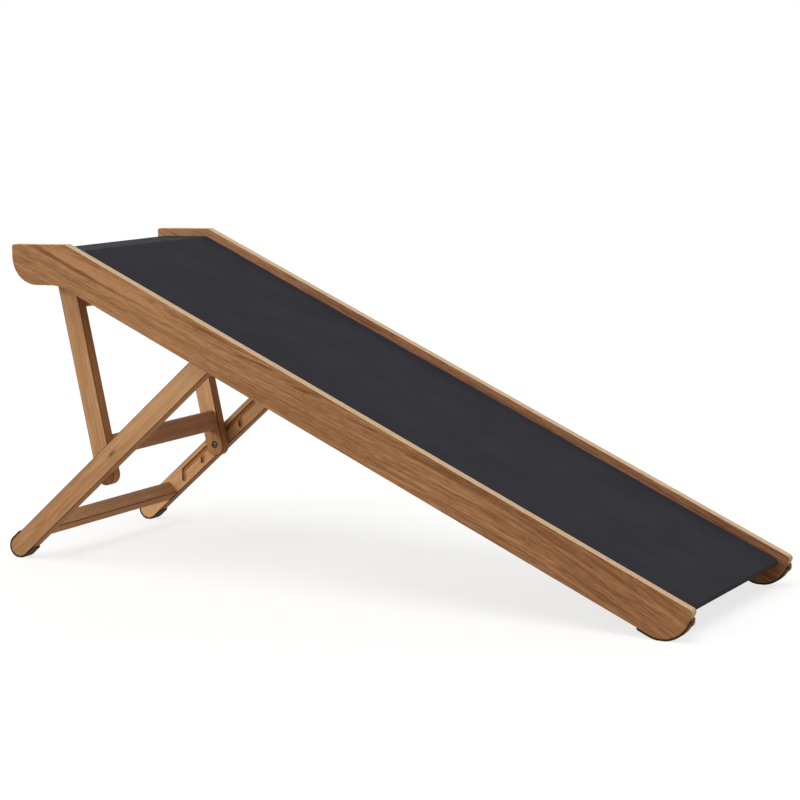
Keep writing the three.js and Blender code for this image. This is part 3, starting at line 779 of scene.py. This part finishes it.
# The right legs are the same wood, but their tones are painted lighter, standing in for the light that the
# near legs, the rails and the deck keep off their inner faces.
painted_lit_leg_tones = (tone(175, 134, 93), tone(191, 148, 105), tone(204, 164, 120))
# Painted shade along the legs' rounded edges, where the light falls off round the arris.
leg_arris_painted_shade = tone(160, 150, 140)
# The legs' narrow faces are painted a warmer, redder brown, standing in for warm light bounced between the
# wooden parts.
leg_narrow_painted_bounce = tone(172, 123, 82)
leg_grain = {"shares": (0.35, 0.3), "pores": 0.15, "narrow": leg_narrow_painted_bounce, "arris": leg_arris_painted_shade}
prop_turn = tilt_from(hinges["prop_hinge"], middle_of("left_foot_shoe"))
prop_start = place_from(prop_turn, hinges["prop_hinge"])
# Painted shade on the floor of each prop leg's groove, darker than the leg's face, where shade falls in
# the recess.
groove_painted_shade = tone(206, 184, 166)
groove_reach = 0.0125
groove_mouth = 0.1634
groove_back = 0.174


def find_groove(tree, place):
    """1 in the notched groove of a prop leg and 0 on the leg's outer faces."""
    sockets = {"Vector": place, "Rotation": prop_turn, "Location": prop_start}
    local = add(tree, "ShaderNodeMapping", sockets).outputs[0]
    axes = add(tree, "ShaderNodeSeparateXYZ", {0: local}).outputs
    side, up = calculate(tree, "ABSOLUTE", axes["Y"]), calculate(tree, "ABSOLUTE", axes["Z"])
    inside = calculate(tree, "LESS_THAN", up, groove_reach)
    inside = calculate(tree, "MULTIPLY", inside, calculate(tree, "GREATER_THAN", side, groove_mouth))
    return calculate(tree, "MULTIPLY", inside, calculate(tree, "LESS_THAN", side, groove_back))


left_prop_streaks = [
    ((-0.10, 0), (0.20, 0), 0.5, 0.2),
    ((0.20, 0), (0.70, 0), 0.5, -0.22),
    ((0.210, 0.002), (0.246, 0), 0.009, -0.5),
]
left_prop_marks = [
    ((0.216, 0.001), (0.240, -0.001), 0.005, 1),
    ((0.376, 0.001), (0.418, 0.003), 0.004, 0.6),
]
right_prop_shift = (0.9, -0.1, 0.05)
prop_legs = {
    "left": (leg_tones, prop_start, {"streaks": left_prop_streaks, "marks_and_painted_shade": left_prop_marks}),
    "right": (painted_lit_leg_tones, right_prop_shift, {}),
}
prop_grain = leg_grain | {"recess": (find_groove, groove_painted_shade)}
for side, (tones, shift, marks_and_painted_shade) in prop_legs.items():
    name = f"{side}_prop_leg"
    dress(name, make_wood(name, tones, prop_turn, shift, **prop_grain, **marks_and_painted_shade))
prop_bar_tones = (tone(156, 115, 81), tone(175, 132, 94), tone(192, 148, 108))
prop_along = (math.cos(prop_turn[1]), 0, math.sin(prop_turn[1]))
# The stretcher's narrow faces are painted lighter and warmer, standing in for the light from below that
# falls on its lower strip.
prop_bar_narrow_painted_light = tone(190, 137, 86)
prop_bar_grain = {"across": prop_along, "narrow": prop_bar_narrow_painted_light, "arris": leg_arris_painted_shade}
prop_bar_shift = (0.1, 0.2, 0.3)
wood = make_wood("prop stretcher", prop_bar_tones, bar_turn, prop_bar_shift, **prop_bar_grain)
dress("prop_stretcher", wood)

# Brace frame. Two plain legs of the same wood hinged under the head, with two flat stretchers
# doweled between them, and a notch bolt through each leg's lower end.
brace_turn = tilt_from(hinges["brace_hinge"], middle_of("notch_bolt_left"))
brace_start = place_from(brace_turn, hinges["brace_hinge"])
left_brace_shift = (0.5, 0.27, 0.1)
# Painted shade: a soft darkening over the right brace leg's lower end, round its bolt, where the leg lies
# in shade.
right_brace_end_painted_shade = [((0.245, 0), (0.37, 0), 0.09, 0.7)]
brace_legs = {
    "left": (leg_tones, left_brace_shift, {}),
    "right": (painted_lit_leg_tones, brace_start, {"marks_and_painted_shade": right_brace_end_painted_shade}),
}
for side, (tones, shift, marks_and_painted_shade) in brace_legs.items():
    name = f"{side}_brace_leg"
    dress(name, make_wood(name, tones, brace_turn, shift, **leg_grain, **marks_and_painted_shade))
# The stretchers' tones are painted lighter, standing in for the light that the deck keeps off them.
brace_bar_painted_lit_tones = (tone(165, 121, 90), tone(184, 138, 104), tone(199, 152, 117))
brace_bar_shifts = {"lower": (0, 0.15, 0.12), "upper": (0.3, 0.15, 0.12)}
for place, shift in brace_bar_shifts.items():
    wood = make_wood(f"{place} stretcher", brace_bar_painted_lit_tones, bar_turn, shift)
    dress(f"brace_{place}_stretcher", wood)
